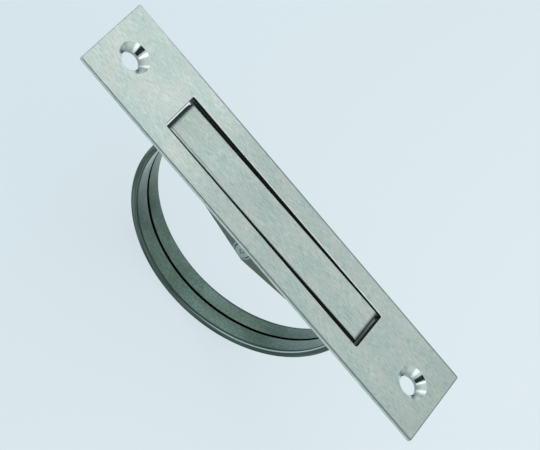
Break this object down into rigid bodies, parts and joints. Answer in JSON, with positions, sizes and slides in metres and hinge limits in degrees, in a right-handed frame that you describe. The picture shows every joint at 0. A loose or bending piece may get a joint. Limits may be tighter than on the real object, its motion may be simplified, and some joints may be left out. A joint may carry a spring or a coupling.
{
  "type": "rotary handle",
  "caption": "Flush rotary handle: a slotted stainless plate with countersunk screw holes, and a ring handle that turns end over end on a riveted pivot behind it.",
  "frame": {"origin": "middle of the screw-hole pattern, on the rims where the screws leave the plate", "axes": "X along the plate, Y along the pivot, +Z out of the front face; the ring hangs behind the plate"},
  "size_m": [0.12, 0.0264, 0.0401],
  "materials": {
    "satin_stainless": "satin, fine hairline along the plate",
    "ring_stainless": "mill satin, rolled",
    "bracket_stainless": "mill finish",
    "rivet_stainless": "turned, bright",
    "spring_steel": "dull spring steel"
  },
  "bodies": {
    "plate": {"face_plate": "satin_stainless", "pivot_bracket_left": "bracket_stainless", "pivot_bracket_right": "bracket_stainless", "pivot_rivet": "rivet_stainless", "spring_washer_left": "spring_steel", "spring_washer_right": "spring_steel", "closing_strip": "bracket_stainless"},
    "handle": {"handle_panel": "satin_stainless", "handle_ring": "ring_stainless", "spacer_sleeve": "rivet_stainless"}
  },
  "joints": [
    {"name": "handle_turn", "type": "hinge", "parent": "plate", "child": "handle", "pos_m": [0, 0, -0.00425], "axis": [0, 1, 0], "continuous": true}
  ]
}
